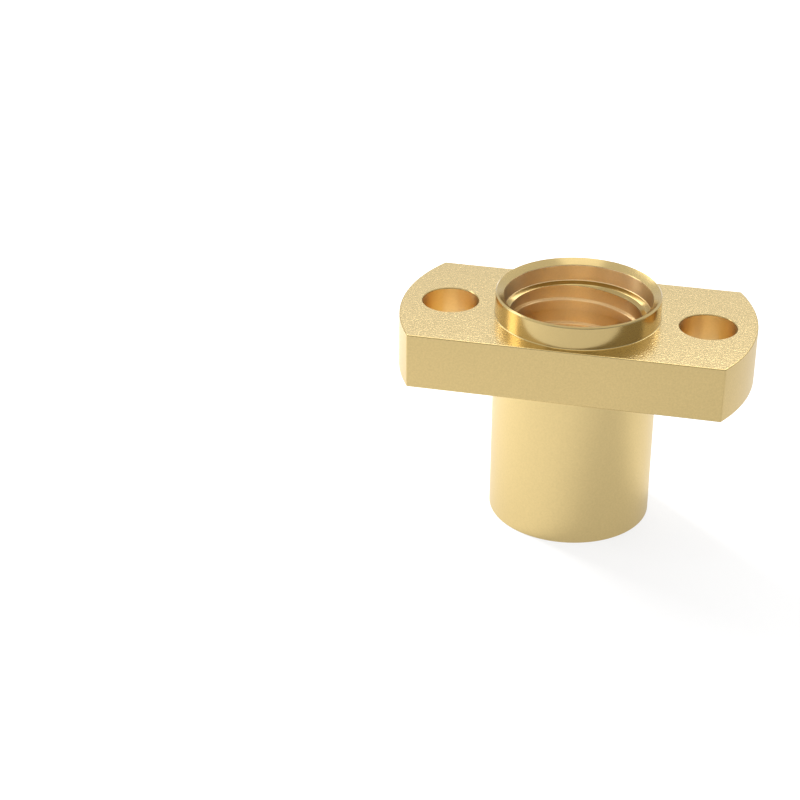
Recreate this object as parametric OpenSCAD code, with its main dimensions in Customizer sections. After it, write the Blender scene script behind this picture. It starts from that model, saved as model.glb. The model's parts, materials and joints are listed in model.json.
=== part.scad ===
// Lead screw nut: a turned brass bush with a two-bolt flange and a square-cut internal thread.
// Millimetres. The origin is the centre of the barrel's end face; +Z runs up the screw's axis,
// through the flange, to the short boss. +X runs through the two bolt holes.

/* [Flange] */
// Diameter of the bar that the flange was turned from
flange_d = 22; // [20:0.5:30]
// Distance between the two flats milled on the flange
flange_across_flats = 11; // [10.5:0.1:13]
// Thickness of the flange
flange_t = 3.5; // [2:0.1:6]

/* [Bolt holes] */
// Distance between the centres of the two bolt holes
bolt_spacing = 16; // [15:0.1:17]
// Diameter of each bolt hole
bolt_hole_d = 3.5; // [2.5:0.1:4]

/* [Barrel and boss] */
// Outer diameter of the barrel below the flange
barrel_d = 10.2; // [9.8:0.1:10.4]
// Length of the barrel below the flange
barrel_l = 10; // [6:0.5:20]
// Outer diameter of the boss above the flange
boss_d = 10.2; // [9.8:0.1:10.4]
// Height of the boss above the flange
boss_h = 1.5; // [1.2:0.1:3]

/* [Counterbore] */
// Diameter of the counterbore in the boss
counterbore_d = 9.12; // [8.8:0.02:9.4]
// Width of the bevel between the counterbore and the boss's edge, measured along the radius
rim_bevel_w = 0.44; // [0.1:0.01:0.5]
// Depth of that bevel, measured along the axis
rim_bevel_h = 0.34; // [0.1:0.01:0.5]
// Height of the counterbore's floor above the flange's top face, at the wall
floor_rise = 0.13; // [0:0.01:0.4]

/* [Thread] */
// Diameter across the thread's ribs, which the screw runs on
thread_minor_d = 8; // [7.6:0.1:8.1]
// Diameter at the bottom of the thread's groove
thread_major_d = 8.4; // [8.2:0.1:8.7]
// Rise of the single-start, right-handed thread in one turn
thread_lead = 1.67; // [1.25:0.01:2.5]
// Width of the flat top of a rib, along the axis
thread_crest_w = 0.68; // [0.5:0.01:0.8]
// Width of each of a rib's two flanks, along the axis
thread_flank_w = 0.06; // [0.02:0.01:0.2]
// Height of the rib's lower edge below the flange's top face, on the +X side
thread_start = 0.5; // [0:0.01:1.6]

/* [Edges] */
// Width of the bevel on the flange's edges
flange_break = 0.05; // [0.03:0.01:0.3]
// Width of the bevel on both edges of each bolt hole
bolt_break = 0.03; // [0.02:0.01:0.3]
// Width of the bevel on the boss's outer edge
boss_break = 0.1; // [0.05:0.01:0.2]
// Width of the bevel on the outer edge of the barrel's free end
barrel_break = 0.06; // [0.03:0.01:0.3]
// Width of the bevel where the screw enters the bore, at the barrel's free end
entry_bevel = 0.3; // [0.1:0.05:0.4]
// Radius that the turning tool leaves where the boss and the barrel meet the flange
corner_r = 0.06; // [0.03:0.01:0.3]

/* [Hidden] */

// Heights along the axis
flange_z0 = barrel_l;
flange_z1 = flange_z0 + flange_t;
boss_z1 = flange_z1 + boss_h;
floor_z = flange_z1 + floor_rise;
bevel_z = boss_z1 - rim_bevel_h;

// Radii
flange_r = flange_d / 2;
barrel_r = barrel_d / 2;
boss_r = boss_d / 2;
counterbore_r = counterbore_d / 2;
minor_r = thread_minor_d / 2;
major_r = thread_major_d / 2;
bolt_r = bolt_hole_d / 2;

past = 1;              // how far a cutting shape runs past what it cuts
round_fn = 96;         // facets of a round surface in the preview
thread_steps = 40;     // straight steps in one turn of the thread

module nut() color("#dcc283") difference() {
    turned_body();
    bore();
    bolt_holes();
    thread_groove();
}

// Barrel, flange and boss, before anything is bored.
module turned_body() {
    rotate_extrude($fn = round_fn) barrel_profile();
    flange();
    rotate_extrude($fn = round_fn) boss_profile();
}

module barrel_profile() {
    polygon([
        [0, 0], [barrel_r - barrel_break, 0], [barrel_r, barrel_break],
        [barrel_r, flange_z0 + past], [0, flange_z0 + past]
    ]);
    translate([barrel_r, flange_z0]) mirror([0, 1]) inside_corner();
}

module boss_profile() {
    polygon([
        [0, flange_z1 - past], [boss_r, flange_z1 - past],
        [boss_r, boss_z1 - boss_break], [boss_r - boss_break, boss_z1], [0, boss_z1]
    ]);
    translate([boss_r, flange_z1]) inside_corner();
}

// The rounded corner between a wall on the left and a floor below, with a little buried in both.
module inside_corner() difference() {
    translate([-corner_r, -corner_r]) square(2 * corner_r);
    translate([corner_r, corner_r]) circle(corner_r, $fn = round_fn);
}

// A bevelled disc cut down to a bevelled bar, which leaves two flats.
module flange() intersection() {
    rotate_extrude($fn = 2 * round_fn) bevelled_half(flange_r);
    rotate([90, 0, 90]) translate([0, 0, -flange_r - past])
        linear_extrude(flange_d + 2 * past) {
            bevelled_half(flange_across_flats / 2);
            mirror([1, 0]) bevelled_half(flange_across_flats / 2);
        }
}

// Half of the flange's section, from the axis out to the given half width.
module bevelled_half(half_w) polygon([
    [0, flange_z0], [half_w - flange_break, flange_z0], [half_w, flange_z0 + flange_break],
    [half_w, flange_z1 - flange_break], [half_w - flange_break, flange_z1], [0, flange_z1]
]);

// The bore at the thread's minor diameter, the counterbore and its bevels, as one turned shape.
module bore() rotate_extrude($fn = round_fn) polygon([
    [0, -past], [major_r + entry_bevel + past, -past],
    [minor_r, major_r - minor_r + entry_bevel],
    [minor_r, flange_z1 - (major_r - minor_r)], [major_r, flange_z1],
    [counterbore_r, floor_z], [counterbore_r, bevel_z],
    [counterbore_r + rim_bevel_w, boss_z1], [counterbore_r + rim_bevel_w, boss_z1 + past],
    [0, boss_z1 + past]
]);

module bolt_holes() for (side = [-1, 1])
    translate([side * bolt_spacing / 2, 0, 0])
        rotate_extrude($fn = round_fn) polygon([
            [0, flange_z0 - past], [bolt_r + bolt_break + past, flange_z0 - past],
            [bolt_r, flange_z0 + bolt_break], [bolt_r, flange_z1 - bolt_break],
            [bolt_r + bolt_break + past, flange_z1 + past], [0, flange_z1 + past]
        ]);

// The thread's groove: a trapezium swept up a helix, open towards the axis.
// It starts below the barrel's end and stops in the empty counterbore.
module thread_groove() {
    depth = major_r - minor_r;
    flank_slope = thread_flank_w / depth;
    mouth_r = minor_r - depth;
    root_half = (thread_lead - thread_crest_w) / 2 - thread_flank_w;
    mouth_half = root_half + flank_slope * (major_r - mouth_r);
    section = [
        [mouth_r, -mouth_half], [major_r, -root_half],
        [major_r, root_half], [mouth_r, mouth_half]
    ];
    // middle of the groove on the +X side: half the groove's width below the rib's lower edge
    mid_z = flange_z1 - thread_start - (thread_lead - thread_crest_w) / 2;
    turns_down = ceil(mid_z / thread_lead) + 1;
    turns_up = ceil(thread_start / thread_lead) + 1;
    steps = round((turns_down + turns_up) * thread_steps);
    points = [
        for (i = [0 : steps])
            let (turn = i / thread_steps - turns_down)
                for (p = section)
                    [p.x * cos(360 * turn), p.x * sin(360 * turn), p.y + mid_z + thread_lead * turn]
    ];
    sides = [
        for (i = [0 : steps - 1], k = [0 : 3])
            let (a = 4 * i + k, b = 4 * i + (k + 1) % 4)
                [a, b, b + 4, a + 4]
    ];
    last = 4 * steps;
    polyhedron(points, concat([[3, 2, 1, 0]], sides, [[last, last + 1, last + 2, last + 3]]));
}

nut();
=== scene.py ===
"""Lead screw nut: a turned brass bush with a two-bolt flange, a counterbored boss and a thread."""
import json
from math import pi, radians, tau

import bmesh
import bpy
from mathutils import Matrix, Quaternion, Vector


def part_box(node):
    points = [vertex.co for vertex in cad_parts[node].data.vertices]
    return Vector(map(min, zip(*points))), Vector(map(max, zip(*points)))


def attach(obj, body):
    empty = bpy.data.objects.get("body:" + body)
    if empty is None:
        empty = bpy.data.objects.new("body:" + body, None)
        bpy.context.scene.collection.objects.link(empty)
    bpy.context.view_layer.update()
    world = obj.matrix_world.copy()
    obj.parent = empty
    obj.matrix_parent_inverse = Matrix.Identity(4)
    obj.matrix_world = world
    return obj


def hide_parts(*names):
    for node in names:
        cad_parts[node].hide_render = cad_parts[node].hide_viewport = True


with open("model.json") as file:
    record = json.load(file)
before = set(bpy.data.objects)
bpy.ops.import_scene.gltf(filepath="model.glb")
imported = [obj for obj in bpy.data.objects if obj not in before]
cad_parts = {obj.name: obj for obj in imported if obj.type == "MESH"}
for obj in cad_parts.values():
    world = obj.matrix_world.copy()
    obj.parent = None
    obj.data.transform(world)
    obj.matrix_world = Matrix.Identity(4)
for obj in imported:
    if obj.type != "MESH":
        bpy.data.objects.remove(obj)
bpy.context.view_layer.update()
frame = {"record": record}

MM = 0.001

# ---------------------------------------------------------------- sizes, in millimetres
mounts = {mount["name"]: mount for mount in frame["record"]["mounts"]}
nut_lo, nut_hi = (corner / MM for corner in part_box("nut"))

flange_r = (nut_hi.x - nut_lo.x) / 2
flat_half = (nut_hi.y - nut_lo.y) / 2
end_z, top_z = nut_lo.z, nut_hi.z
flange_back_z = mounts["flange_back"]["pos_m"][2] / MM
flange_front_z = mounts["flange_front"]["pos_m"][2] / MM
barrel_r = mounts["barrel"]["dims"]["r_mm"]
boss_r = mounts["boss"]["dims"]["r_mm"]
crest_r = mounts["threaded_bore"]["dims"]["r_mm"]
bolt_r = mounts["bolt_holes"]["dims"]["hole_r_mm"]
bolt_x = mounts["bolt_holes"]["dims"]["spacing_x_mm"] / 2

EDGE_BREAK = 0.07       # the deburred edges of the flange
CORNER_BREAK = 0.04     # the flange's upright corners, left nearly sharp by the milling cutter
HOLE_BREAK = 0.05       # the bolt holes' edges
BARREL_BREAK = 0.06     # the edge of the barrel's end
TOOL_NOSE = 0.06        # radius that the turning tool leaves in the two inside corners
COUNTERBORE_R = 4.56
COUNTERBORE_NOSE = 0.05  # radius in its corner and at the foot of its bevel
SLIGHT = 0.03           # the least rounding, where a bevel or a flank meets a wall
CREST_ROUND = 0.04      # the thread's crest, and the boss's outer edge
RIM_R = 5.0             # the boss's two bevels meet here in an edge
RIM_BEVEL = 0.34        # depth of the bevel from that edge down to the counterbore
FLOOR_RISE = 0.13       # the counterbore's floor climbs this much towards its wall
ENTRY_BEVEL = 0.3       # where the screw enters at the barrel's end

THREAD_LEAD = 1.67
THREAD_DEPTH = 0.2
CREST_WIDTH = 0.68
FLANK_WIDTH = 0.06
CREST_START = 0.5       # a crest's lower edge is this far below the flange's face on the +X side

STEPS = 256             # facets round a turned surface
FLANGE_STEPS = 360      # facets round the flange, the widest part
THREAD_STEPS = 128      # facets in one turn of the thread, and round a bolt hole
CLEAR = 1.0             # how far a cutting shape runs past what it cuts

# Which of its materials a face takes: the first, a second or a third.
FIRST, SECOND, THIRD = 0, 1, 2
FLAT = 0.99             # a face whose normal stands up this much lies flat
UPRIGHT = 0.02          # one whose normal stands up less than this is a wall


# ---------------------------------------------------------------- turned, milled and cut shapes
def line_of(points):
    """A line through (radius, height, rounding) points, with each corner rounded off."""
    shape = bmesh.new()
    verts = [shape.verts.new((radius, 0, height)) for radius, height, _ in points]
    for start, end in zip(verts, verts[1:]):
        shape.edges.new((start, end))
    for vert, (_, _, rounding) in zip(verts, points):
        if rounding:
            bmesh.ops.bevel(shape, geom=[vert], offset=rounding, offset_type="OFFSET",
                            affect="VERTICES", segments=4, profile=0.5, material=-1,
                            clamp_overlap=True)
    return shape


def close_up(shape):
    """Merges doubled points and turns the faces outwards."""
    bmesh.ops.remove_doubles(shape, verts=shape.verts[:], dist=1e-5)
    bmesh.ops.recalc_face_normals(shape, faces=shape.faces[:])
    return shape


def turned(points, steps=STEPS):
    """A solid turned about the Z axis from a line that starts and ends on it."""
    shape = line_of(points)
    bmesh.ops.spin(shape, geom=shape.verts[:] + shape.edges[:], cent=(0, 0, 0), axis=(0, 0, 1),
                   dvec=(0, 0, 0), angle=tau, steps=steps, use_merge=True)
    return close_up(shape)


def flange_blank():
    """A disc with its two sides milled flat, deburred all round."""
    disc = bmesh.new()
    bmesh.ops.create_cone(disc, cap_ends=True, segments=FLANGE_STEPS, radius1=flange_r,
                          radius2=flange_r, depth=flange_front_z - flange_back_z)
    bmesh.ops.translate(disc, verts=disc.verts[:], vec=(0, 0, (flange_front_z + flange_back_z) / 2))
    for side in (-1, 1):
        cut = bmesh.ops.bisect_plane(disc, geom=disc.verts[:] + disc.edges[:] + disc.faces[:],
                                     dist=1e-4, plane_co=(0, side * flat_half, 0),
                                     plane_no=(0, side, 0), clear_outer=True)
        rim = [e for e in cut["geom_cut"] if isinstance(e, bmesh.types.BMEdge)]
        bmesh.ops.edgenet_fill(disc, edges=[e for e in disc.edges if e.is_boundary] or rim)
    close_up(disc)
    corners = [e for e in disc.edges if e.calc_face_angle(0) > radians(40)
               and abs(e.verts[0].co.z - e.verts[1].co.z) > 1]
    bmesh.ops.bevel(disc, geom=corners, offset=CORNER_BREAK, offset_type="OFFSET",
                    affect="EDGES", segments=2, profile=0.5, material=-1)
    rims = [e for e in disc.edges if e.calc_face_angle(0) > radians(80)]
    bmesh.ops.bevel(disc, geom=rims, offset=EDGE_BREAK, offset_type="OFFSET",
                    affect="EDGES", segments=4, profile=0.5, material=-1)
    for face in disc.faces:
        rise = abs(face.normal.z)
        face.material_index = SECOND if rise > FLAT else THIRD if rise > UPRIGHT else FIRST
    return disc


def shaft():
    """Barrel and boss on one axis, with the part between them buried in the flange. The boss's
    bevel runs on past its edge, so that the counterbore's tool meets it there."""
    bevel = boss_r - RIM_R
    shape = turned([
        (0, end_z, 0), (barrel_r, end_z, BARREL_BREAK), (barrel_r, flange_back_z, TOOL_NOSE),
        (barrel_r + 2 * TOOL_NOSE, flange_back_z, TOOL_NOSE),
        (barrel_r + 2 * TOOL_NOSE, flange_front_z, TOOL_NOSE),
        (boss_r, flange_front_z, TOOL_NOSE), (boss_r, top_z - bevel, CREST_ROUND),
        (RIM_R - bevel, top_z + bevel, 0), (0, top_z + bevel, 0)])
    for face in shape.faces:
        on_boss = face.calc_center_median().z > flange_front_z
        face.material_index = SECOND if on_boss else FIRST
    return shape


def counterbore_cutter():
    """The counterbore, the bevel round its mouth and the thread's lead-in."""
    root_r = crest_r + THREAD_DEPTH
    floor_z = flange_front_z + FLOOR_RISE
    lead_in = 2 * THREAD_DEPTH
    shape = turned([
        (0, flange_front_z - lead_in, 0), (root_r - lead_in, flange_front_z - lead_in, 0),
        (root_r, flange_front_z, SLIGHT), (COUNTERBORE_R, floor_z, COUNTERBORE_NOSE),
        (COUNTERBORE_R, top_z - RIM_BEVEL, COUNTERBORE_NOSE),
        (RIM_R + (RIM_R - COUNTERBORE_R), top_z + RIM_BEVEL, 0), (0, top_z + RIM_BEVEL, 0)])
    for face in shape.faces:
        height = face.calc_center_median().z
        face.material_index = \
            SECOND if height > top_z - RIM_BEVEL else THIRD if height < floor_z else FIRST
    return shape


def entry_cutter():
    """The bevel where the screw enters, at the barrel's end."""
    mouth_r = crest_r + THREAD_DEPTH + ENTRY_BEVEL
    return turned([
        (0, end_z - CLEAR, 0), (mouth_r + CLEAR, end_z - CLEAR, 0),
        (mouth_r - CLEAR, end_z + CLEAR, 0), (0, end_z + CLEAR, 0)])


def drill(side):
    """One bolt hole with its two edges broken."""
    flare = HOLE_BREAK + CLEAR
    shape = turned([
        (0, flange_back_z - flare, 0), (bolt_r + flare, flange_back_z - flare, 0),
        (bolt_r, flange_back_z + HOLE_BREAK, SLIGHT),
        (bolt_r, flange_front_z - HOLE_BREAK, SLIGHT),
        (bolt_r + flare, flange_front_z + flare, 0), (0, flange_front_z + flare, 0)],
        steps=THREAD_STEPS)
    for face in shape.faces:
        face.material_index = SECOND if abs(face.normal.z) > UPRIGHT else FIRST
    bmesh.ops.translate(shape, verts=shape.verts[:], vec=(side * bolt_x, 0, 0))
    return shape


def tap():
    """The thread's form as a solid plug: one lead of its outline, screwed up the axis. It has
    two turns to spare at each end, which are then cut off level."""
    root_r = crest_r + THREAD_DEPTH
    spare = 2
    turns = int((flange_front_z - end_z) / THREAD_LEAD) + 2 * spare
    lower = flange_front_z - CREST_START - (turns - spare) * THREAD_LEAD
    middle = lower + CREST_WIDTH / 2
    shape = line_of([
        (crest_r, middle, 0), (crest_r, lower + CREST_WIDTH, CREST_ROUND),
        (root_r, lower + CREST_WIDTH + FLANK_WIDTH, SLIGHT),
        (root_r, lower + THREAD_LEAD - FLANK_WIDTH, SLIGHT),
        (crest_r, lower + THREAD_LEAD, CREST_ROUND), (crest_r, middle + THREAD_LEAD, 0)])
    bmesh.ops.spin(shape, geom=shape.verts[:] + shape.edges[:], cent=(0, 0, 0), axis=(0, 0, 1),
                   dvec=(0, 0, THREAD_LEAD / THREAD_STEPS), angle=turns * tau,
                   steps=turns * THREAD_STEPS, use_merge=False)
    bmesh.ops.remove_doubles(shape, verts=shape.verts[:], dist=1e-4)
    for height, way in ((flange_front_z + FLOOR_RISE / 3, 1), (end_z - CLEAR / 2, -1)):
        bmesh.ops.bisect_plane(shape, geom=shape.verts[:] + shape.edges[:] + shape.faces[:],
                               dist=1e-5, plane_co=(0, 0, height), plane_no=(0, 0, way),
                               clear_outer=True)
    bmesh.ops.holes_fill(shape, edges=[e for e in shape.edges if e.is_boundary])
    return close_up(shape)


def as_object(name, shape, *materials):
    """A shape in its materials, as an object of the scene."""
    mesh = bpy.data.meshes.new(name)
    shape.to_mesh(mesh)
    shape.free()
    for material in materials:
        mesh.materials.append(material)
    thing = bpy.data.objects.new(name, mesh)
    bpy.context.scene.collection.objects.link(thing)
    return thing


def work(blank, tool, operation):
    """Joins the tool to the blank or cuts it away, and leaves the blank's mesh finished."""
    step = blank.modifiers.new(operation.lower(), "BOOLEAN")
    step.object, step.operation, step.solver = tool, operation, "EXACT"
    step.material_mode = "TRANSFER"
    made = bpy.data.meshes.new_from_object(
        blank.evaluated_get(bpy.context.evaluated_depsgraph_get()))
    blank.modifiers.clear()
    blank.data = made
    bpy.data.objects.remove(tool)


# ---------------------------------------------------------------- finishes, some with light or shade painted into their colour
def linear(hex_colour):
    """An sRGB hex colour as linear red, green, blue and alpha."""
    parts = [int(hex_colour[i:i + 2], 16) / 255 for i in (1, 3, 5)]
    return [c / 12.92 if c <= 0.04045 else ((c + 0.055) / 1.055) ** 2.4 for c in parts] + [1]


def add_node(tree, kind, links=(), **settings):
    """Adds a node; settings are its properties or inputs by name, links are (input, socket)."""
    node = tree.nodes.new(kind)
    for key, value in settings.items():
        if hasattr(node, key):
            setattr(node, key, value)
        else:
            node.inputs[key.replace("_", " ")].default_value = value
    for key, socket in links:
        tree.links.new(socket, node.inputs[key])
    return node


# The grain that a cutter leaves in brass is about 0.05 mm wide. That is too fine to show, so it is
# drawn as coarse as it needs to show, with hollows a tenth as deep as the grain is wide.
GRAIN = 0.12
FACED_GRAIN = 0.13
HOLLOW = 0.1


def brass(name, colour, roughness, bump, fleck, grain=GRAIN, along_axis=0.0, grazing="#FFFFFF"):
    """Solid brass with an even machined grain: bump is how strongly it bends the light, fleck how
    much it lightens and darkens the metal. Tool marks that run round the axis spread the light
    along it. Grazing is a darker tint for the metal seen at a grazing angle: painted shade in a
    narrow bore."""
    material = bpy.data.materials.new(name)
    material.use_nodes = True
    tree = material.node_tree
    tree.nodes.clear()
    place = add_node(tree, "ShaderNodeTexCoord")
    noise = add_node(tree, "ShaderNodeTexNoise", [("Vector", place.outputs["Object"])],
                     Scale=1 / (grain * MM), Detail=2.0)
    relief = add_node(tree, "ShaderNodeBump", [("Height", noise.outputs["Fac"])],
                      Strength=bump, Distance=grain * MM * HOLLOW)
    shader = add_node(tree, "ShaderNodeBsdfPrincipled", [("Normal", relief.outputs["Normal"])],
                      Metallic=1.0, Roughness=roughness)
    # a grazing tint darker than white is painted shade on walls seen edge-on
    shader.inputs["Specular Tint"].default_value = linear(grazing)
    shade = add_node(tree, "ShaderNodeMapRange", [("Value", noise.outputs["Fac"])],
                     From_Min=0.3, From_Max=0.7, To_Min=1 - fleck, To_Max=1 + fleck)
    flecked = add_node(tree, "ShaderNodeHueSaturation", [("Value", shade.outputs["Result"])],
                       Color=linear(colour))
    tree.links.new(flecked.outputs["Color"], shader.inputs["Base Color"])
    if along_axis:
        axis = add_node(tree, "ShaderNodeCombineXYZ", Z=1.0)
        tree.links.new(axis.outputs["Vector"], shader.inputs["Tangent"])
        shader.inputs["Anisotropic"].default_value = along_axis
    add_node(tree, "ShaderNodeOutputMaterial", [("Surface", shader.outputs["BSDF"])])
    return material


# Turned with a fine feed: the barrel has a soft sheen that slides from light to dull round it.
turned_brass = brass("turned_brass", "#DFC78D", 0.36, bump=0.35, fleck=0.03)
# Milled flats: a little rougher, so the flange's sides keep an even, quiet tone. Their colour is
# painted darker than the barrel's brass: painted shade on the flange's sides.
milled_brass_painted_shade = brass("milled_brass_painted_shade", "#D2BA82", 0.38, bump=0.4, fleck=0.05)
# Faced with the tool's point: glossy and pebbled, so the flange's top and back sparkle. Its colour
# is painted lighter than the milled sides: painted light on the flange's top.
faced_brass_painted_light = brass("faced_brass_painted_light", "#E2CA92", 0.18, bump=1.0, fleck=0.11, grain=FACED_GRAIN)
# Bevels, broken edges and the boss: cut last and bright, so they show sharp light and dark bands.
# Their colour is painted darker than the barrel's brass: painted shade, which dims the boss.
polished_brass_painted_shade = brass("polished_brass_painted_shade", "#CCB47C", 0.21, bump=0.03, fleck=0.02)
# Bored and tapped: marks round the hole draw the light out along it, in deep warm bands. Its colour
# is painted much lighter, as painted light that lifts the bore out of its own shade, and its dark
# warm grazing tint paints shade on the walls seen edge-on.
bored_brass_painted_light_and_shade = brass("bored_brass_painted_light_and_shade", "#FCDEAA", 0.36, bump=0.05, fleck=0.03, along_axis=0.9,
                    grazing="#6A5230")
# The counterbore's floor: the brightest cut, which mirrors the wall beside it. Its colour is
# painted darker than the other brass: painted shade at the foot of the counterbore.
ledge_brass_painted_shade = brass("ledge_brass_painted_shade", "#B8A06A", 0.14, bump=0.05, fleck=0.02)
# Drilled: like the bore, and more golden: its colour is painted lighter and more golden, as painted
# light for the light that meets the wall more than once.
drilled_brass_painted_light = brass("drilled_brass_painted_light", "#F2D294", 0.34, bump=0.1, fleck=0.03, along_axis=0.85)

# ---------------------------------------------------------------- the nut
SHARP_ANGLE = radians(38)   # edges that turn more than this stay crisp

nut = as_object("turned_nut", flange_blank(), milled_brass_painted_shade, faced_brass_painted_light, polished_brass_painted_shade)
work(nut, as_object("shaft", shaft(), turned_brass, polished_brass_painted_shade), "UNION")
work(nut, as_object("counterbore_cutter", counterbore_cutter(),
                    bored_brass_painted_light_and_shade, polished_brass_painted_shade, ledge_brass_painted_shade), "DIFFERENCE")
work(nut, as_object("entry_cutter", entry_cutter(), bored_brass_painted_light_and_shade), "DIFFERENCE")
work(nut, as_object("tap", tap(), bored_brass_painted_light_and_shade), "DIFFERENCE")
for end in (-1, 1):
    work(nut, as_object("drill", drill(end), drilled_brass_painted_light, polished_brass_painted_shade), "DIFFERENCE")

nut.data.transform(Matrix.Scale(MM, 4))
nut.data.name = "turned_nut"
nut.data.shade_smooth()
nut.data.set_sharp_from_angle(angle=SHARP_ANGLE)
weighting = nut.modifiers.new("weighted_normals", "WEIGHTED_NORMAL")
weighting.keep_sharp = True
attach(nut, "root")
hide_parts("nut")

# ---------------------------------------------------------------- studio
FLOOR_HALF = 2.0          # metres from the middle of the floor to its edge
BACKGROUND_GLOW = 0.78    # brings the pale floor up to white for the camera; the shadow stays
MIRRORED_GLOW = 0.56      # the same for the floor that the metal mirrors, kept a little lower
ROOM_LIGHT = 0.85

floor_mesh = bpy.data.meshes.new("floor")
plane = bmesh.new()
bmesh.ops.create_grid(plane, x_segments=1, y_segments=1, size=FLOOR_HALF)
plane.to_mesh(floor_mesh)
plane.free()
floor = bpy.data.objects.new("floor", floor_mesh)
bpy.context.scene.collection.objects.link(floor)

floor_paint = bpy.data.materials.new("white_sweep")
floor_paint.use_nodes = True
tree = floor_paint.node_tree
tree.nodes.clear()
ray = add_node(tree, "ShaderNodeLightPath")
in_surfaces = add_node(tree, "ShaderNodeMath", [(0, ray.outputs["Is Glossy Ray"]),
                                                (1, ray.outputs["Is Transmission Ray"])],
                       operation="ADD")
mirrored = add_node(tree, "ShaderNodeMath", [(0, in_surfaces.outputs["Value"])],
                    operation="MULTIPLY")
mirrored.inputs[1].default_value = MIRRORED_GLOW
strength = add_node(tree, "ShaderNodeMath", [(0, ray.outputs["Is Camera Ray"]),
                                             (2, mirrored.outputs["Value"])],
                    operation="MULTIPLY_ADD")
strength.inputs[1].default_value = BACKGROUND_GLOW
matt = add_node(tree, "ShaderNodeBsdfDiffuse", Color=linear("#808080"))
glow = add_node(tree, "ShaderNodeEmission", [("Strength", strength.outputs["Value"])],
                Color=linear("#FFFFFF"))
both = add_node(tree, "ShaderNodeAddShader")
tree.links.new(matt.outputs["BSDF"], both.inputs[0])
tree.links.new(glow.outputs["Emission"], both.inputs[1])
add_node(tree, "ShaderNodeOutputMaterial", [("Surface", both.outputs["Shader"])])
floor_mesh.materials.append(floor_paint)

world = bpy.data.worlds.new("white_room")
bpy.context.scene.world = world
world.use_nodes = True
tree = world.node_tree
tree.nodes.clear()
room = add_node(tree, "ShaderNodeBackground", Color=linear("#FFFFFF"),
                Strength=ROOM_LIGHT)
add_node(tree, "ShaderNodeOutputWorld", [("Surface", room.outputs["Background"])])


def direction(azimuth, elevation):
    """Unit vector away from the nut: azimuth 0 is the front and 90 the right, in degrees."""
    return Matrix.Rotation(radians(azimuth), 3, "Z") \
        @ Matrix.Rotation(-radians(elevation), 3, "X") @ Vector((0, -1, 0))


def soft_box(name, azimuth, elevation, distance, width, height, brightness, in_metal=True):
    """A soft box that faces the nut; brightness is how much it adds to the room behind it, where
    1 is white. In_metal says whether the metal mirrors it."""
    lamp = bpy.data.lights.new(name, "AREA")
    lamp.shape, lamp.size, lamp.size_y = "RECTANGLE", width * MM, height * MM
    lamp.energy = brightness * pi * width * height * MM * MM
    box = bpy.data.objects.new(name, lamp)
    bpy.context.scene.collection.objects.link(box)
    out = direction(azimuth, elevation)
    box.location = (out * distance + Vector((0, 0, flange_back_z))) * MM
    box.rotation_mode = "QUATERNION"
    box.rotation_quaternion = (-out).to_track_quat("-Z", "Y")
    box.visible_camera = False
    box.visible_glossy = in_metal


def card(name, azimuth, elevation, distance, width, height, colour):
    """A matt card that faces the nut and gives the metal something darker to mirror."""
    paint = bpy.data.materials.new(name)
    paint.use_nodes = True
    surface = paint.node_tree.nodes["Principled BSDF"].inputs
    surface["Base Color"].default_value = linear(colour)
    surface["Roughness"].default_value = 1.0
    sheet = bmesh.new()
    bmesh.ops.create_grid(sheet, x_segments=1, y_segments=1, size=0.5)
    bmesh.ops.scale(sheet, verts=sheet.verts[:], vec=(width, height, 1))
    out = direction(azimuth, elevation)
    place = Matrix.Translation(out * distance + Vector((0, 0, flange_back_z))) \
        @ (-out).to_track_quat("-Z", "Y").to_matrix().to_4x4()
    bmesh.ops.transform(sheet, verts=sheet.verts[:], matrix=Matrix.Scale(MM, 4) @ place)
    board = as_object(name, sheet, paint)
    board.visible_camera = False


# Azimuth, elevation, distance, width and height, in degrees and millimetres.
soft_box("left_box", -89, 24, 160, 45, 90, 2.4)
soft_box("back_box", -168, 51, 220, 300, 112, 3.3)
soft_box("top_box", 0, 84, 200, 120, 90, 0.8)
soft_box("floor_wash", -125, 27, 112, 50, 50, 68.0, in_metal=False)
card("right_card", 62, 20, 170, 300, 110, "#8A8A8A")
card("front_card", 0, 27, 260, 300, 220, "#C4C4C4")

# ---------------------------------------------------------------- camera
AZIMUTH, ELEVATION, DISTANCE = 7.55, 25.65, 120.68
AIM = Vector((-11.22, 0, 5.97))     # the camera looks here, which sets the nut to one side
ROLL = 0.25
LENS, SENSOR = 87.79, 36.0

camera_data = bpy.data.cameras.new("camera")
camera_data.lens, camera_data.sensor_width = LENS, SENSOR
camera_data.clip_start, camera_data.clip_end = 0.005, 10
camera = bpy.data.objects.new("camera", camera_data)
bpy.context.scene.collection.objects.link(camera)
camera.location = \
    (Vector((0, 0, flange_front_z)) + direction(AZIMUTH, ELEVATION) * DISTANCE) * MM
line_of_sight = AIM * MM - camera.location
camera.rotation_mode = "QUATERNION"
camera.rotation_quaternion = line_of_sight.to_track_quat("-Z", "Y") \
    @ Quaternion((0, 0, 1), radians(ROLL))
bpy.context.scene.camera = camera

bpy.context.scene.view_settings.view_transform = "Standard"
